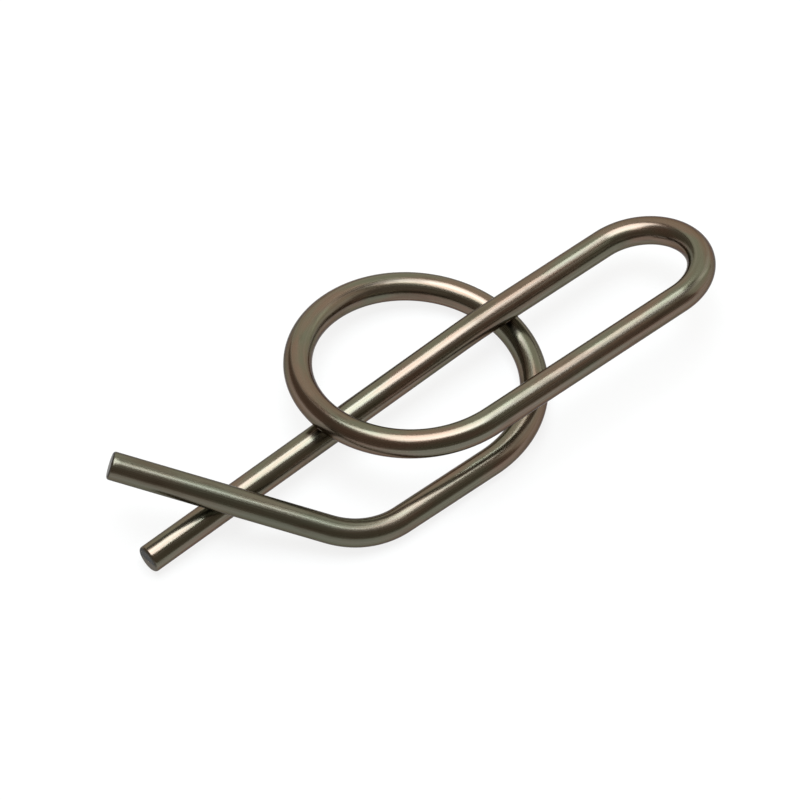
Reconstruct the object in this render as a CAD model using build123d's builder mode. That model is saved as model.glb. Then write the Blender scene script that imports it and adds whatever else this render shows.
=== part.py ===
# A ring cotter pin, bent from one length of round spring wire. Its straight leg goes through
# the cross hole of a shaft and its ring lies round that shaft. The loop at the leg's other
# end is the thumb's grip, and the arm passes over the leg's tip and keeps the pin in.

import os

from build123d import *

os.makedirs("parts", exist_ok=True)

# The wire, its sheared ends, and how closely it passes itself
wire_diameter = 2.0
end_round = 0.2
ring_clearance = 0.1
arm_clearance = 0.2

# The ring, a coil of a little under one turn, bent in equal steps
shaft_diameter = 14.0
ring_play = 0.5
ring_angle = 359.0
ring_steps = 8

# The leg, the slight bend that sets its far end down, and the run that comes back
leg_length = 27.6
leg_bend_radius = 40.0
leg_bend_angle = 3.5
leg_end_length = 10.4
leg_offset = 0.25
return_length = 16.6

# The tail that leaves the ring, its elbow and the arm
tail_length = 7.7
elbow_inner_radius = 5.2
elbow_angle = 49.5
arm_length = 15.6

# The centre line's radii: the loop is half the ring's, to lead the leg through its middle
wire_radius = wire_diameter / 2
ring_radius = (shaft_diameter + ring_play + wire_diameter) / 2
loop_radius = (ring_radius + leg_offset) / 2
elbow_radius = elbow_inner_radius + wire_radius

QUARTER_TURN = 90
HALF_TURN = 180

# How finely the wire's crossings and its rest are worked out
SOLVING_PASSES = 5
POINTS_PER_RUN = 60


def straight(station, length):
    """A straight run of the centre line, and the station at its end."""
    with BuildLine(station) as line:
        Line((0, 0), (length, 0))
    run = line.edge()
    return run, Plane(run @ 1, x_dir=run % 1, z_dir=station.z_dir)


def bend(station, radius, angle):
    """A bend of the centre line to its right, and the station at its end."""
    with BuildLine(station) as line:
        JernArc((0, 0), (1, 0), radius, -angle)
    run = line.edge()
    return run, Plane(run @ 1, x_dir=run % 1, z_dir=station.z_dir)


def roll(station, angle):
    """The station rolled about the wire, so that its right side rises by the angle."""
    wire_axis = Axis(station.origin, station.x_dir)
    return Plane(station.origin, x_dir=station.x_dir, z_dir=station.z_dir.rotate(wire_axis, -angle))


def bent_wire(start, ring_roll, ring_fall, arm_roll):
    """The centre line's runs by name, in the order in which the wire is bent."""
    runs = {}
    runs["leg"], station = straight(start, leg_length)
    station = roll(station, -QUARTER_TURN)
    runs["leg_bend"], station = bend(station, leg_bend_radius, leg_bend_angle)
    station = roll(station, QUARTER_TURN)
    runs["leg_end"], station = straight(station, leg_end_length)
    runs["loop"], station = bend(station, loop_radius, HALF_TURN)
    runs["return"], station = straight(station, return_length)
    station = roll(station, ring_roll)
    for step in range(ring_steps):
        runs[f"ring_{step}"], station = bend(station, ring_radius, ring_angle / ring_steps)
        station = roll(station, -ring_fall / ring_steps)
    runs["tail"], station = straight(station, tail_length)
    station = roll(station, arm_roll)
    runs["elbow"], station = bend(station, elbow_radius, elbow_angle)
    runs["arm"], station = straight(station, arm_length)
    return runs


def ring_of(runs):
    """The ring's runs, from its start at the return run to its end at the tail."""
    return [runs[f"ring_{step}"] for step in range(ring_steps)]


def height_over(upper, lower):
    """How far one stretch passes over another, between centre lines."""
    distance, on_upper, on_lower = upper.distance_to_with_closest_points(lower)
    return distance if on_upper.Z > on_lower.Z else -distance


def crossing_heights(rolls):
    """Ring over leg, leg over ring, and arm over leg, in the order of the rolls that set them."""
    runs = bent_wire(Plane.XY, *rolls)
    leg = Compound([runs["leg"], runs["leg_bend"], runs["leg_end"]])
    ring = ring_of(runs)
    rising_half = Compound(ring[: ring_steps // 2])
    falling_half = Compound(ring[ring_steps // 2 :])
    return [
        height_over(rising_half, leg),
        height_over(leg, falling_half),
        height_over(runs["arm"], leg),
    ]


def clearing_rolls():
    """The rolls of the wire at which it passes itself with its clearances, by secant steps."""
    over_ring = wire_diameter + ring_clearance
    wanted = [over_ring, over_ring, wire_diameter + arm_clearance]
    rolls = [0.0, 0.0, 0.0]
    for _ in range(SOLVING_PASSES):
        for i, height in enumerate(wanted):
            before = crossing_heights(rolls)[i]
            rolls[i] += 1
            gained = crossing_heights(rolls)[i] - before
            rolls[i] += (height - before) / gained - 1
    return rolls


def lowest_point(stretch, up):
    """The point of a stretch of runs that lies lowest when up points upwards."""
    points = [run @ (i / POINTS_PER_RUN) for run in stretch for i in range(POINTS_PER_RUN + 1)]
    return min(points, key=up.dot)


def floor_under(runs):
    """The floor that the wire comes to rest on, which its tip, its ring and its elbow touch."""
    tip = runs["leg"] @ 0
    up = Vector(0, 0, 1)
    for _ in range(SOLVING_PASSES):
        on_ring = lowest_point(ring_of(runs), up)
        on_elbow = lowest_point([runs["elbow"]], up)
        up = (on_ring - tip).cross(on_elbow - tip).normalized()
        up = up if up.Z > 0 else -up
    along_leg = runs["leg"] % 0
    return Plane(tip, x_dir=along_leg - up * up.dot(along_leg), z_dir=up)


# The wire is bent once to find its floor, and once more lying on it
rolls = clearing_rolls()
floor = floor_under(bent_wire(Plane.XY, *rolls))
leg_start = Plane(floor.location.inverse())
runs = bent_wire(leg_start, *rolls)

# The bent wire, with the burr-free ends of a sheared and tumbled pin
with BuildPart() as wire:
    with BuildLine() as centre_line:
        add(list(runs.values()))
    with BuildSketch(Plane(runs["leg"] @ 0, z_dir=runs["leg"] % 0)):
        Circle(wire_radius)
    sweep(path=centre_line.line)
    sheared_ends = wire.faces().filter_by(GeomType.PLANE)
    fillet(sheared_ends.edges(), radius=end_round)

# The finished pin, lying on the floor with its origin under its middle
reach = wire.part.bounding_box()
with BuildPart() as ring_cotter_pin:
    with Locations((-reach.center().X, -reach.center().Y, -reach.min.Z)):
        add(wire.part)
ring_cotter_pin.part.label = "ring_cotter_pin"
export_step(ring_cotter_pin.part, "parts/ring_cotter_pin.step")

print("rolls of the ring, over its turn and of the arm:", [round(angle, 2) for angle in rolls])
print("length of wire:", round(sum(run.length for run in runs.values()), 1), "mm")
print("size:", ring_cotter_pin.part.bounding_box().size)
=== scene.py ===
# %% [markdown]
# # A ring cotter pin, from one length of spring wire
# A ring cotter keeps a shaft or a clevis pin in its hole. It is one piece of hard drawn steel
# wire, bent cold: nothing is welded, and the wire has the same thickness from end to end. The
# pin's solid is already made at its real size, and it is loaded here as a fixed frame. What is
# left to Blender is the surface: the wire's fine drawing lines, its oily brown tone and its two
# sheared ends.

import math

import bmesh
import bpy
from mathutils import Matrix, Vector


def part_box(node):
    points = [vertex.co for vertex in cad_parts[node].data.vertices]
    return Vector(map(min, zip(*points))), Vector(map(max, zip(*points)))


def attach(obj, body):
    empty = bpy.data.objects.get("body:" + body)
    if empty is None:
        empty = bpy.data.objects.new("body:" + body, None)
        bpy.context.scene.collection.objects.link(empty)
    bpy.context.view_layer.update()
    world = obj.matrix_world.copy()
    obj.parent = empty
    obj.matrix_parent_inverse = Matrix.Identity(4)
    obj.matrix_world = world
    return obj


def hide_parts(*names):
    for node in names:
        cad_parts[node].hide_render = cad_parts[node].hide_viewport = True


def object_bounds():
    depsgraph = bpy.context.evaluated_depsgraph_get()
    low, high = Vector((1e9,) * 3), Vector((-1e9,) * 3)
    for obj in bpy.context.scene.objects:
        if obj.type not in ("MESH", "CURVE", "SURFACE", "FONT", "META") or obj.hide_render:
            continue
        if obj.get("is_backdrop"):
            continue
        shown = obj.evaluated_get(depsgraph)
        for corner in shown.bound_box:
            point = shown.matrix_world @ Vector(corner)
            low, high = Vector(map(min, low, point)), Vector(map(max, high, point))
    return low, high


MM = 0.001

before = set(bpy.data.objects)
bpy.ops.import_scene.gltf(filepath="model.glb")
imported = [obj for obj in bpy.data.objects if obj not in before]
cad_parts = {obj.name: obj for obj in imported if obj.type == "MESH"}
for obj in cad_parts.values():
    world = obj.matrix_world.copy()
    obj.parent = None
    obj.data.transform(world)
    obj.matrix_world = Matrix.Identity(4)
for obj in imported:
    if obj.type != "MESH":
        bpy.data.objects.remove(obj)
cad_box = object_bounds()
print("the pin's box, in mm:", [round(side / MM, 2) for side in cad_box[1] - cad_box[0]])

# %% [markdown]
# ## The wire's sizes
# These are the pin's own sizes, in metres and degrees, in the order in which a wire former
# bends it. If every bend lay in one plane, the wire would run into itself, so it is also turned
# a little about itself: before the ring, all along the ring and before the elbow. These three
# rolls let it pass over itself with a small gap. The leg's climb and roll then lay the bent pin
# on the floor, on its tip, its ring and its elbow. All five could be solved for here, but the
# solid's source has already done that from the same sizes, so its results are used.

# %% The wire's sizes
wire_radius = 1.0 * MM
end_round = 0.2 * MM

leg_length = 27.6 * MM
leg_bend_radius = 40.0 * MM
leg_bend_angle = 3.5
leg_end_length = 10.4 * MM
loop_radius = 4.25 * MM
return_length = 16.6 * MM
ring_radius = 8.25 * MM
ring_angle = 359.0
ring_steps = 8
tail_length = 7.7 * MM
elbow_radius = 6.2 * MM
elbow_angle = 49.5
arm_length = 15.6 * MM

ring_roll = 9.938
ring_fall = 29.936
arm_roll = 26.235
leg_climb = 4.104
leg_roll = -16.288

print("width inside the ring:", round(2 * (ring_radius - wire_radius) / MM, 1), "mm")

# %% [markdown]
# ## Bending the wire
# Four things could make this wire: a curve with a round bevel, the Skin modifier, a sweep of
# points worked out by hand, or the way a wire former does it. The last is used, because it is
# how the real pin is made and because it keeps count of the wire. A circle of points is the end
# of the wire, and **spin** draws it on: straight when the angle is zero and there is a step
# along the way, and round when there is an angle and a centre. Each new point also remembers
# where it was on the straight wire, so that the drawing lines can follow every bend later on.

# %% The bench that bends the wire
POINTS_ROUND = 64
STRAIGHT_STEP = 0.6 * MM
BEND_STEP = 2.5
QUARTER_TURN = 90
HALF_TURN = 180


class Bench:
    """A length of wire that grows at its far end as it is fed and bent."""

    def __init__(self, start):
        self.mesh = bmesh.new()
        self.straight_place = self.mesh.verts.layers.float_vector.new("straight_place")
        self.station = start
        self.fed = 0.0
        across = Matrix.Rotation(math.radians(QUARTER_TURN), 4, "Y")
        bmesh.ops.create_circle(
            self.mesh, segments=POINTS_ROUND, radius=wire_radius, matrix=start @ across
        )
        self.end = self.mesh.edges[:]
        back = start.inverted()
        for vert in self.mesh.verts:
            vert[self.straight_place] = back @ vert.co

    def axis(self, column):
        """The wire's far end: its heading (0), left side (1), upper side (2) or place (3)."""
        return self.station.col[column].to_3d()

    def draw_on(self, length, steps, **path):
        """Spins the wire's end along the path, and notes where the new points lie on it."""
        first = len(self.mesh.verts)
        made = bmesh.ops.spin(self.mesh, geom=self.end, steps=steps, **path)
        self.end = [part for part in made["geom_last"] if isinstance(part, bmesh.types.BMEdge)]
        self.mesh.verts.ensure_lookup_table()
        for i, vert in enumerate(self.mesh.verts[first:]):
            place = vert[self.straight_place].copy()
            place.x = self.fed + length * (i // POINTS_ROUND + 1) / steps
            vert[self.straight_place] = place
        self.fed += length

    def feed(self, length):
        """A straight run."""
        steps = max(1, round(length / STRAIGHT_STEP))
        step = self.axis(0) * length / steps
        self.draw_on(length, steps, cent=self.axis(3), axis=self.axis(2), dvec=step, angle=0.0)
        self.station = Matrix.Translation(self.axis(0) * length) @ self.station

    def bend(self, radius, angle):
        """A bend to the right."""
        centre = self.axis(3) - self.axis(1) * radius
        turn = -math.radians(angle)
        steps = max(2, round(angle / BEND_STEP))
        self.draw_on(radius * abs(turn), steps, cent=centre, axis=self.axis(2), angle=turn)
        about = Matrix.Translation(centre) @ Matrix.Rotation(turn, 4, self.axis(2))
        self.station = about @ Matrix.Translation(-centre) @ self.station

    def roll(self, angle):
        """The wire turned about itself, so that its right side rises."""
        self.station = self.station @ Matrix.Rotation(-math.radians(angle), 4, "X")


# %% The pin, bent run by run
def bent_pin():
    """The whole wire as an open tube, with its leg's tip at the origin."""
    climb = Matrix.Rotation(-math.radians(leg_climb), 4, "Y")
    bench = Bench(climb @ Matrix.Rotation(math.radians(leg_roll), 4, "X"))
    bench.feed(leg_length)
    # The leg's slight bend goes down, so its right side is rolled down for it and up again
    bench.roll(-QUARTER_TURN)
    bench.bend(leg_bend_radius, leg_bend_angle)
    bench.roll(QUARTER_TURN)
    bench.feed(leg_end_length)
    bench.bend(loop_radius, HALF_TURN)
    bench.feed(return_length)
    bench.roll(ring_roll)
    for _ in range(ring_steps):
        bench.bend(ring_radius, ring_angle / ring_steps)
        bench.roll(-ring_fall / ring_steps)
    bench.feed(tail_length)
    bench.roll(arm_roll)
    bench.bend(elbow_radius, elbow_angle)
    bench.feed(arm_length)
    return bench


bench = bent_pin()
wire_length = bench.fed
print("wire used:", round(wire_length / MM, 1), "mm")

# %% [markdown]
# ## The sheared ends
# The wire is cut off by a shear and the pins are tumbled afterwards, so each end is a flat face
# with a small round edge. Inset faces or a lathe's profile could make it too, but on an open
# tube two operators are enough: **holes_fill** closes the two open rings, and **bevel** rounds
# them.

# %% The sheared ends
END_ROUND_SEGMENTS = 4


def close_ends(mesh):
    """A flat face on both ends of the tube, with a rounded edge. Returns the two faces."""
    open_edges = [edge for edge in mesh.edges if edge.is_boundary]
    bmesh.ops.holes_fill(mesh, edges=open_edges, sides=0)
    bmesh.ops.bevel(
        mesh,
        geom=open_edges,
        offset=end_round,
        segments=END_ROUND_SEGMENTS,
        profile=0.5,
        affect="EDGES",
        material=-1,
    )
    return [face for face in mesh.faces if len(face.verts) == POINTS_ROUND]


print("sheared ends:", len(close_ends(bench.mesh)))

# %% [markdown]
# ## The piece in the frame
# The wire was bent in its own place. It could be moved as an object, but the export expects an
# object at the origin, so its points are moved: the middle of its box goes to the middle of the
# solid's box. From then on it stands for that solid and rides on the only body.

# %% The piece in the frame
def as_piece(mesh, name):
    """The mesh as an object whose box has its middle where the solid's box has it."""
    low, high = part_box("ring_cotter_pin")
    corners = [[getattr(vert.co, axis) for vert in mesh.verts] for axis in "xyz"]
    middle = Vector([(min(values) + max(values)) / 2 for values in corners])
    bmesh.ops.translate(mesh, verts=mesh.verts, vec=(low + high) / 2 - middle)
    bmesh.ops.recalc_face_normals(mesh, faces=mesh.faces)
    for face in mesh.faces:
        # The wire and its rounded edges are made of quads and look round, and its ends are flat
        face.smooth = len(face.verts) == 4
    data = bpy.data.meshes.new(name)
    mesh.to_mesh(data)
    mesh.free()
    piece = bpy.data.objects.new(name, data)
    bpy.context.scene.collection.objects.link(piece)
    return piece


pin_wire = as_piece(bench.mesh, "pin_wire")
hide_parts("ring_cotter_pin")
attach(pin_wire, "root")
print("faces:", len(pin_wire.data.polygons))

# %% [markdown]
# ## The drawn surface
# The steel comes off the drawing die with fine lines along its length and a thin skin of oxide,
# brown in one place and olive in the next, and it is oiled against rust. A picture wrapped round
# the wire would show a seam and smear in the bends. Instead every texture reads the point's place
# on the straight wire, so that a line that starts at the tip runs through the loop, the ring and
# the elbow to the other end, as the die left it. Noise that is squeezed across the wire and
# stretched along it makes the lines.

# %% Helpers for shader nodes
# A Mix node has a set of sockets for each kind of data, and these are the ones for colours
MIX_FIRST_COLOUR = 6
MIX_SECOND_COLOUR = 7
MIX_RESULT_COLOUR = 2


def add(tree, kind, inputs=None, **settings):
    """A new node. Each input gets a value, or a link where an output socket is given."""
    node = tree.nodes.new(kind)
    for name, value in settings.items():
        setattr(node, name, value)
    for name, value in (inputs or {}).items():
        if isinstance(value, bpy.types.NodeSocket):
            tree.links.new(value, node.inputs[name])
        else:
            node.inputs[name].default_value = value
    return node


def calc(tree, operation, *values):
    """One step of arithmetic, on numbers and outputs of other nodes."""
    return add(tree, "ShaderNodeMath", dict(enumerate(values)), operation=operation).outputs[0]


def coordinate(tree, place, axis):
    """One of the three numbers of a place: X along the wire, or Y or Z across it."""
    return add(tree, "ShaderNodeSeparateXYZ", {"Vector": place}).outputs[axis]


def ramp(tree, value, low, high, out_low=0.0, out_high=1.0):
    """The value carried from one range to another, and held at the ends."""
    limits = {"From Min": low, "From Max": high, "To Min": out_low, "To Max": out_high}
    return add(tree, "ShaderNodeMapRange", {"Value": value, **limits}).outputs["Result"]


def blend(tree, mask, first, second):
    """The first colour where the mask is 0, and the second where it is 1."""
    node = add(tree, "ShaderNodeMix", {"Factor": mask}, data_type="RGBA")
    for socket, colour in ((MIX_FIRST_COLOUR, first), (MIX_SECOND_COLOUR, second)):
        if isinstance(colour, bpy.types.NodeSocket):
            tree.links.new(colour, node.inputs[socket])
        else:
            node.inputs[socket].default_value = (*colour, 1)
    return node.outputs[MIX_RESULT_COLOUR]


# %% [markdown]
# ## Patterns on the straight wire
# The lines, the patches of oxide, the stains and the grains are the same noise at other sizes.
# Five sets of nodes could make them, but one **node group** with the patch's length and width as
# its inputs is built once and used five times.

# %% The noise on the wire, as a group
def noise_group():
    """Noise on the straight wire, with one size of patch along it and another across it."""
    group = bpy.data.node_groups.new("noise_on_the_wire", "ShaderNodeTree")
    group.interface.new_socket("Place", in_out="INPUT", socket_type="NodeSocketVector")
    for title in ("Along", "Across", "Detail"):
        group.interface.new_socket(title, in_out="INPUT", socket_type="NodeSocketFloat")
    group.interface.new_socket("Value", in_out="OUTPUT", socket_type="NodeSocketFloat")
    given = group.nodes.new("NodeGroupInput").outputs
    in_patches = add(group, "ShaderNodeCombineXYZ")
    for axis, size in {"X": "Along", "Y": "Across", "Z": "Across"}.items():
        count = calc(group, "DIVIDE", coordinate(group, given["Place"], axis), given[size])
        group.links.new(count, in_patches.inputs[axis])
    settings = {"Vector": in_patches.outputs[0], "Scale": 1.0, "Detail": given["Detail"]}
    noise = add(group, "ShaderNodeTexNoise", settings).outputs["Fac"]
    group.links.new(noise, group.nodes.new("NodeGroupOutput").inputs["Value"])
    return group


noise_on_the_wire = noise_group()
print("nodes in the noise:", len(noise_on_the_wire.nodes))

# %% The patterns and their sizes
FINE_LINES = {"Along": 12 * MM, "Across": 0.05 * MM, "Detail": 2.0}
BROAD_LINES = {"Along": 30 * MM, "Across": 0.22 * MM, "Detail": 2.0}
GRAINS = {"Along": 0.09 * MM, "Across": 0.05 * MM, "Detail": 2.0}
OXIDE_PATCHES = {"Along": 6 * MM, "Across": 1.2 * MM, "Detail": 3.0}
OIL_STAINS = {"Along": 3.5 * MM, "Across": 0.6 * MM, "Detail": 3.0}
NOISE_LOW = 0.3
NOISE_HIGH = 0.7


def wire_noise(tree, place, pattern):
    """The pattern's noise. Nearly all of it lies between NOISE_LOW and NOISE_HIGH."""
    inputs = {"Place": place, **pattern}
    return add(tree, "ShaderNodeGroup", inputs, node_tree=noise_on_the_wire).outputs["Value"]


for title, pattern in (("lines", FINE_LINES), ("patches", OXIDE_PATCHES)):
    print(title, "are", round(pattern["Across"] / MM, 2), "mm wide")

# %% [markdown]
# ## The skin of the wire
# The brown and the olive are thin oxides on the steel, rubbed bright where the die pressed
# hardest, and stained where old oil has dried. One colour with dirt on top would look painted,
# so each of these is a colour of its own, and they are blended in the order in which the real
# wire gets them. The arm is rougher than the rest, and it is also painted a darker, greener
# colour: painted shade for the dimmer highlight that it shows.

# %% The skin of the wire
OXIDE_BROWN = (0.157, 0.107, 0.077)
OXIDE_OLIVE = (0.125, 0.120, 0.084)
DRAWN_BRIGHT = (0.200, 0.178, 0.150)
# A darker, greener olive painted on the arm: painted shade for its dimmer highlight
ARM_PAINTED_SHADE = (0.108, 0.112, 0.082)
OLD_OIL = (0.078, 0.056, 0.038)
OLIVE_BETWEEN = (0.42, 0.58)
BRIGHT_BETWEEN = (0.45, 0.70)
STAINED_BETWEEN = (0.56, 0.72)
MOST_BRIGHT = 0.65
MOST_ARM_SHADE = 0.60
MOST_STAINED = 0.55
ARM_SHADE_AND_DULL_FROM = 9 * MM
ARM_SHADE_AND_DULL_TO = 1 * MM


# This mask carries both the arm's painted shade in the colour and its rougher finish
def arm_shade_and_dull_mask(tree, place):
    """0 on most of the wire, and 1 on the arm. It rises along the tail's end and the elbow."""
    elbow_end = wire_length - arm_length
    return ramp(tree, coordinate(tree, place, "X"), elbow_end - ARM_SHADE_AND_DULL_FROM, elbow_end + ARM_SHADE_AND_DULL_TO)


def skin_colour(tree, place, broad_lines, arm_shade_and_dull):
    """Brown and olive oxide in long patches, rubbed bright along the lines, with stains of oil."""
    patches = wire_noise(tree, place, OXIDE_PATCHES)
    stains = wire_noise(tree, place, OIL_STAINS)
    bright = ramp(tree, broad_lines, *BRIGHT_BETWEEN, out_high=MOST_BRIGHT)
    # The arm's painted shade: a darker, greener olive over the oxide
    arm_painted_shade = ramp(tree, arm_shade_and_dull, 0.0, 1.0, out_high=MOST_ARM_SHADE)
    stained = ramp(tree, stains, *STAINED_BETWEEN, out_high=MOST_STAINED)
    colour = blend(tree, ramp(tree, patches, *OLIVE_BETWEEN), OXIDE_BROWN, OXIDE_OLIVE)
    for mask, tone in ((bright, DRAWN_BRIGHT), (arm_painted_shade, ARM_PAINTED_SHADE), (stained, OLD_OIL)):
        colour = blend(tree, mask, colour, tone)
    return colour


# %% [markdown]
# ## The cut faces
# A shear cuts the first part of the wire cleanly, and the rest breaks off, so a sheared face is
# smooth and bright on one side and grainy and dark on the other. A second material could be
# given to the two faces, but the place on the straight wire already says which points lie at an
# end, so one mask finds them and the finish stays in one material.

# %% The cut faces
SHEARED_STEEL = (0.150, 0.135, 0.110)
TORN_STEEL = (0.060, 0.052, 0.040)
CUT_FROM = 0.12 * MM
CUT_TO = 0.02 * MM
TORN_FROM = 0.35 * MM
TORN_TO = 0.55 * MM
RAGGEDNESS = 1.0 * MM


def cut_mask(tree, place):
    """1 on the two cut faces and 0 along the wire, from the distance to the wire's middle."""
    middle = wire_length / 2
    offset = calc(tree, "SUBTRACT", coordinate(tree, place, "X"), middle)
    return ramp(tree, calc(tree, "ABSOLUTE", offset), middle - CUT_FROM, middle - CUT_TO)


def torn_mask(tree, place, grains):
    """1 on the side of a cut face where the wire broke off, and 0 where the blade slid by."""
    ragged = calc(tree, "MULTIPLY_ADD", grains, RAGGEDNESS, coordinate(tree, place, "Z"))
    return ramp(tree, ragged, TORN_FROM, TORN_TO)


# %% [markdown]
# ## The finish of the wire
# The steel is a metal under a thin coat of oil. Its gloss could be one number, but drawn wire
# has streaks of gloss along it, and the arm and the cut faces are duller, so the roughness is
# built up in steps from the same patterns and masks as the colour. The lines and grains are far
# too small for the mesh, and a **bump** of a few thousandths of a millimetre shows them.

# %% The finish of the wire
GRAZING_TINT = (0.23, 0.19, 0.12, 1)
SMOOTHEST = 0.19
ROUGHEST = 0.30
SPECKLE = 0.015
DULL_ROUGHER = 0.06
CUT_ROUGHER = 0.25
LINE_DEPTH = 0.008 * MM
GRAIN_SHARE = 0.12
BUMP_STRENGTH = 0.2
OIL_COAT = 0.35
OIL_ROUGHNESS = 0.12


def wire_roughness(tree, fine_lines, grains, arm_shade_and_dull, cut):
    """Streaks of gloss with a slight speckle, rougher on the arm and on the cut faces."""
    streaks = ramp(tree, fine_lines, NOISE_LOW, NOISE_HIGH, SMOOTHEST, ROUGHEST)
    speckle = ramp(tree, grains, NOISE_LOW, NOISE_HIGH, -SPECKLE, SPECKLE)
    along_wire = calc(tree, "ADD", streaks, speckle)
    with_arm = calc(tree, "MULTIPLY_ADD", arm_shade_and_dull, DULL_ROUGHER, along_wire)
    return calc(tree, "MULTIPLY_ADD", cut, CUT_ROUGHER, with_arm)


def wire_relief(tree, fine_lines, broad_lines, grains):
    """The drawing lines and the grains as a slight unevenness of the surface."""
    lines = calc(tree, "ADD", fine_lines, broad_lines)
    height = calc(tree, "MULTIPLY_ADD", grains, GRAIN_SHARE, lines)
    settings = {"Height": height, "Strength": BUMP_STRENGTH, "Distance": LINE_DEPTH}
    return add(tree, "ShaderNodeBump", settings).outputs["Normal"]


# %% The wire's material
def drawn_wire_material():
    """Drawn, oiled spring steel, with its two sheared faces."""
    material = bpy.data.materials.new("drawn_wire")
    material.use_nodes = True
    tree = material.node_tree
    place = add(tree, "ShaderNodeAttribute", attribute_name="straight_place").outputs["Vector"]
    fine_lines = wire_noise(tree, place, FINE_LINES)
    broad_lines = wire_noise(tree, place, BROAD_LINES)
    grains = wire_noise(tree, place, GRAINS)
    arm_shade_and_dull = arm_shade_and_dull_mask(tree, place)
    cut = cut_mask(tree, place)

    skin = skin_colour(tree, place, broad_lines, arm_shade_and_dull)
    face = blend(tree, torn_mask(tree, place, grains), SHEARED_STEEL, TORN_STEEL)
    rough = wire_roughness(tree, fine_lines, grains, arm_shade_and_dull, cut)
    relief = wire_relief(tree, fine_lines, broad_lines, grains)

    shader = tree.nodes["Principled BSDF"].inputs
    shader["Metallic"].default_value = 1.0
    shader["Specular Tint"].default_value = GRAZING_TINT
    shader["Coat Weight"].default_value = OIL_COAT
    shader["Coat Roughness"].default_value = OIL_ROUGHNESS
    tree.links.new(blend(tree, cut, skin, face), shader["Base Color"])
    tree.links.new(rough, shader["Roughness"])
    tree.links.new(relief, shader["Normal"])
    return material


pin_wire.data.materials.append(drawn_wire_material())
print("nodes in the finish:", len(pin_wire.data.materials[0].node_tree.nodes))

# %% [markdown]
# ## The floor
# The pin lies on white paper. More light could make the paper white, but it would bleach the
# steel as well. Instead the paper glows white to the camera, and to rays that come by way of
# gloss or glass, so that the steel mirrors the white that the camera sees. Its own dull white is
# added to the glow, and where the pin keeps the lamps off it, that part is missing: this is the
# shadow.

# %% The floor
FLOOR_SIZE = 40.0


def flat_floor():
    """A large square at the height of the pin's lowest point."""
    mesh = bmesh.new()
    bmesh.ops.create_grid(mesh, x_segments=1, y_segments=1, size=FLOOR_SIZE / 2)
    data = bpy.data.meshes.new("floor")
    mesh.to_mesh(data)
    mesh.free()
    floor = bpy.data.objects.new("floor", data)
    bpy.context.scene.collection.objects.link(floor)
    return floor


# %% The paper on the floor
PAPER_GLOW = 0.84
PAPER_WHITE = 0.14


def seen_or_mirrored(tree):
    """1 for rays from the camera, from gloss and through glass, and 0 for all others."""
    path = tree.nodes.new("ShaderNodeLightPath").outputs
    seen = calc(tree, "MAXIMUM", path["Is Camera Ray"], path["Is Glossy Ray"])
    return calc(tree, "MAXIMUM", seen, path["Is Transmission Ray"])


def paper_material():
    """White paper, seen as a plain white."""
    material = bpy.data.materials.new("white_paper")
    material.use_nodes = True
    tree = material.node_tree
    shader = tree.nodes["Principled BSDF"].inputs
    shader["Base Color"].default_value = (PAPER_WHITE, PAPER_WHITE, PAPER_WHITE, 1)
    shader["Roughness"].default_value = 1.0
    shader["Specular IOR Level"].default_value = 0.0
    shader["Emission Color"].default_value = (1, 1, 1, 1)
    glow = ramp(tree, seen_or_mirrored(tree), 0.0, 1.0, out_high=PAPER_GLOW)
    tree.links.new(glow, shader["Emission Strength"])
    return material


floor = flat_floor()
floor.data.materials.append(paper_material())
floor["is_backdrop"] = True
print("floor:", FLOOR_SIZE, "m wide")

# %% [markdown]
# ## The room
# Polished wire mirrors the whole room, also the dark parts between the lamps. A black world
# would leave black bands along the wire, and a modelled room would be more than they need, so
# the world is one dim warm grey.

# %% The room
ROOM_GREY = (0.25, 0.21, 0.17, 1)
room = bpy.data.worlds.new("room")
room.use_nodes = True
room.node_tree.nodes["Background"].inputs["Color"].default_value = ROOM_GREY
bpy.context.scene.world = room
print("world:", bpy.context.scene.world.name)

# %% [markdown]
# ## The camera
# The picture of this pin looks down on it from its leg's side, turned so that the leg runs up
# to the right. The camera could be placed by eye, but then no edge would lie quite where it
# should. Its angles were found by laying the bent wire over that picture. A long lens half a
# metre away shows the near and the far end almost at one scale, as there. The camera's place
# follows from one point of the pin and the pixel that it has to fall on.

# %% The camera's directions
CAMERA_AZIMUTH = -40.949
CAMERA_ELEVATION = 54.444
CAMERA_ROLL = 1.700


def camera_axes():
    """The directions in which the camera has its right, its top and its back."""
    about_up = Matrix.Rotation(math.radians(CAMERA_AZIMUTH), 3, "Z")
    tilt = Matrix.Rotation(-math.radians(CAMERA_ELEVATION), 3, "X")
    back = about_up @ tilt @ Vector((0, -1, 0))
    level = about_up @ Vector((1, 0, 0))
    right = Matrix.Rotation(math.radians(CAMERA_ROLL), 3, back) @ level
    return right, back.cross(right), back


# %% The camera
IMAGE_PIXELS = 800
SENSOR = 36.0
CAMERA_DISTANCE = 0.5
PIXELS_PER_METRE = 14524
PIN_POINT = Vector((0.0, 0.0, 0.003))
PIN_POINT_PIXEL = Vector((407.516, 373.928))


def photo_camera():
    """A camera that puts the pin's point on its pixel, at the picture's scale."""
    right, up, back = camera_axes()
    middle = IMAGE_PIXELS / 2
    aim = PIN_POINT + right * (middle - PIN_POINT_PIXEL.x) / PIXELS_PER_METRE
    aim += up * (PIN_POINT_PIXEL.y - middle) / PIXELS_PER_METRE
    data = bpy.data.cameras.new("camera")
    data.sensor_width = SENSOR
    data.lens = PIXELS_PER_METRE * CAMERA_DISTANCE * SENSOR / IMAGE_PIXELS
    data.clip_end = FLOOR_SIZE
    camera = bpy.data.objects.new("camera", data)
    axes = Matrix((right, up, back)).transposed().to_4x4()
    camera.matrix_world = Matrix.Translation(aim + back * CAMERA_DISTANCE) @ axes
    bpy.context.scene.collection.objects.link(camera)
    return camera


bpy.context.scene.camera = photo_camera()
print("lens:", round(bpy.context.scene.camera.data.lens), "mm")

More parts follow.
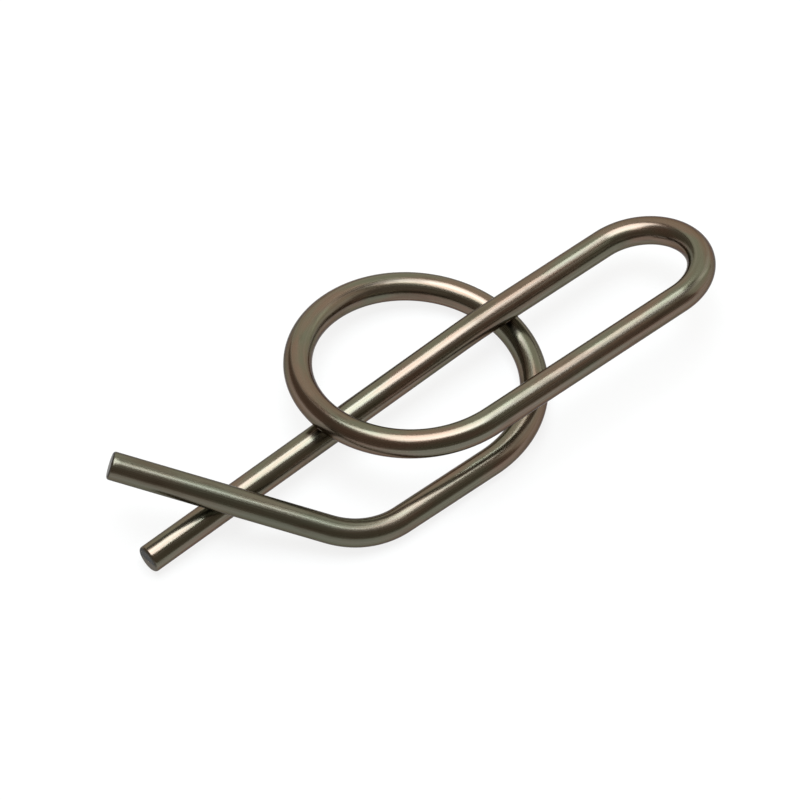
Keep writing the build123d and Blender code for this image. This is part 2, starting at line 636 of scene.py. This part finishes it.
# %% [markdown]
# ## The lamps
# A bright stretch of polished wire is the mirror image of a lamp, so a lamp's shape and place
# matter more than its strength. Small spots would give hard glints, so all three lamps are broad
# area lamps. A soft box hangs over the table, a little behind the pin. Its right edge lies, and
# is turned, just short of what the arm mirrors, which is why the leg shines and the arm stays
# dull. Two weak panels stand on the right, one behind the pin and one in front of it, and give
# the flanks their grey. The lamps' strength is given in sheets of white paper, so that it
# compares with the floor.

# %% A soft box
def soft_box(name, place, size, radiance, colour):
    """An area lamp that shines straight down, as bright as that many sheets of white paper."""
    data = bpy.data.lights.new(name, "AREA")
    data.shape = "RECTANGLE"
    width, depth = size
    data.size = width
    data.size_y = depth
    data.energy = math.pi * width * depth * radiance
    data.color = colour
    lamp = bpy.data.objects.new(name, data)
    lamp.location = place
    bpy.context.scene.collection.objects.link(lamp)
    return lamp


def face_the_pin(lamp):
    """The lamp turned to the origin, where the pin lies."""
    lamp.rotation_euler = (-lamp.location).to_track_quat("-Z", "Y").to_euler()


# %% The three lamps
LAMP_WHITE = (0.88, 0.955, 1.0)
PANEL_WHITE = (0.96, 1.0, 0.90)
OVERHEAD_TURN = -15

overhead = soft_box(
    "overhead_box", place=(0.075, 0.20, 1.0), size=(0.76, 0.86), radiance=7.2, colour=LAMP_WHITE
)
overhead.rotation_euler.z = math.radians(OVERHEAD_TURN)
back_panel = soft_box(
    "back_panel", place=(0.83, 0.70, 0.50), size=(2.4, 1.3), radiance=0.9, colour=PANEL_WHITE
)
front_panel = soft_box(
    "front_panel", place=(0.97, -0.50, 0.50), size=(0.95, 1.3), radiance=0.75, colour=PANEL_WHITE
)
for panel in (back_panel, front_panel):
    face_the_pin(panel)
print("lamps:", [lamp.name for lamp in bpy.data.lights])

# Colours are shown as they are, without the look of a film
bpy.context.scene.view_settings.view_transform = "Standard"

# %% [markdown]
# ## The box
# The solid gives the pin its size, and the surface must not change it. A look at a render
# wouldn't show a difference of a few hundredths of a millimetre, so the two boxes are compared
# in numbers and printed.

# %% The two boxes
visual_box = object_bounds()
moved = max((now - then).length for now, then in zip(visual_box, cad_box))
print("corners of the box moved by up to", round(moved / MM, 4), "mm")
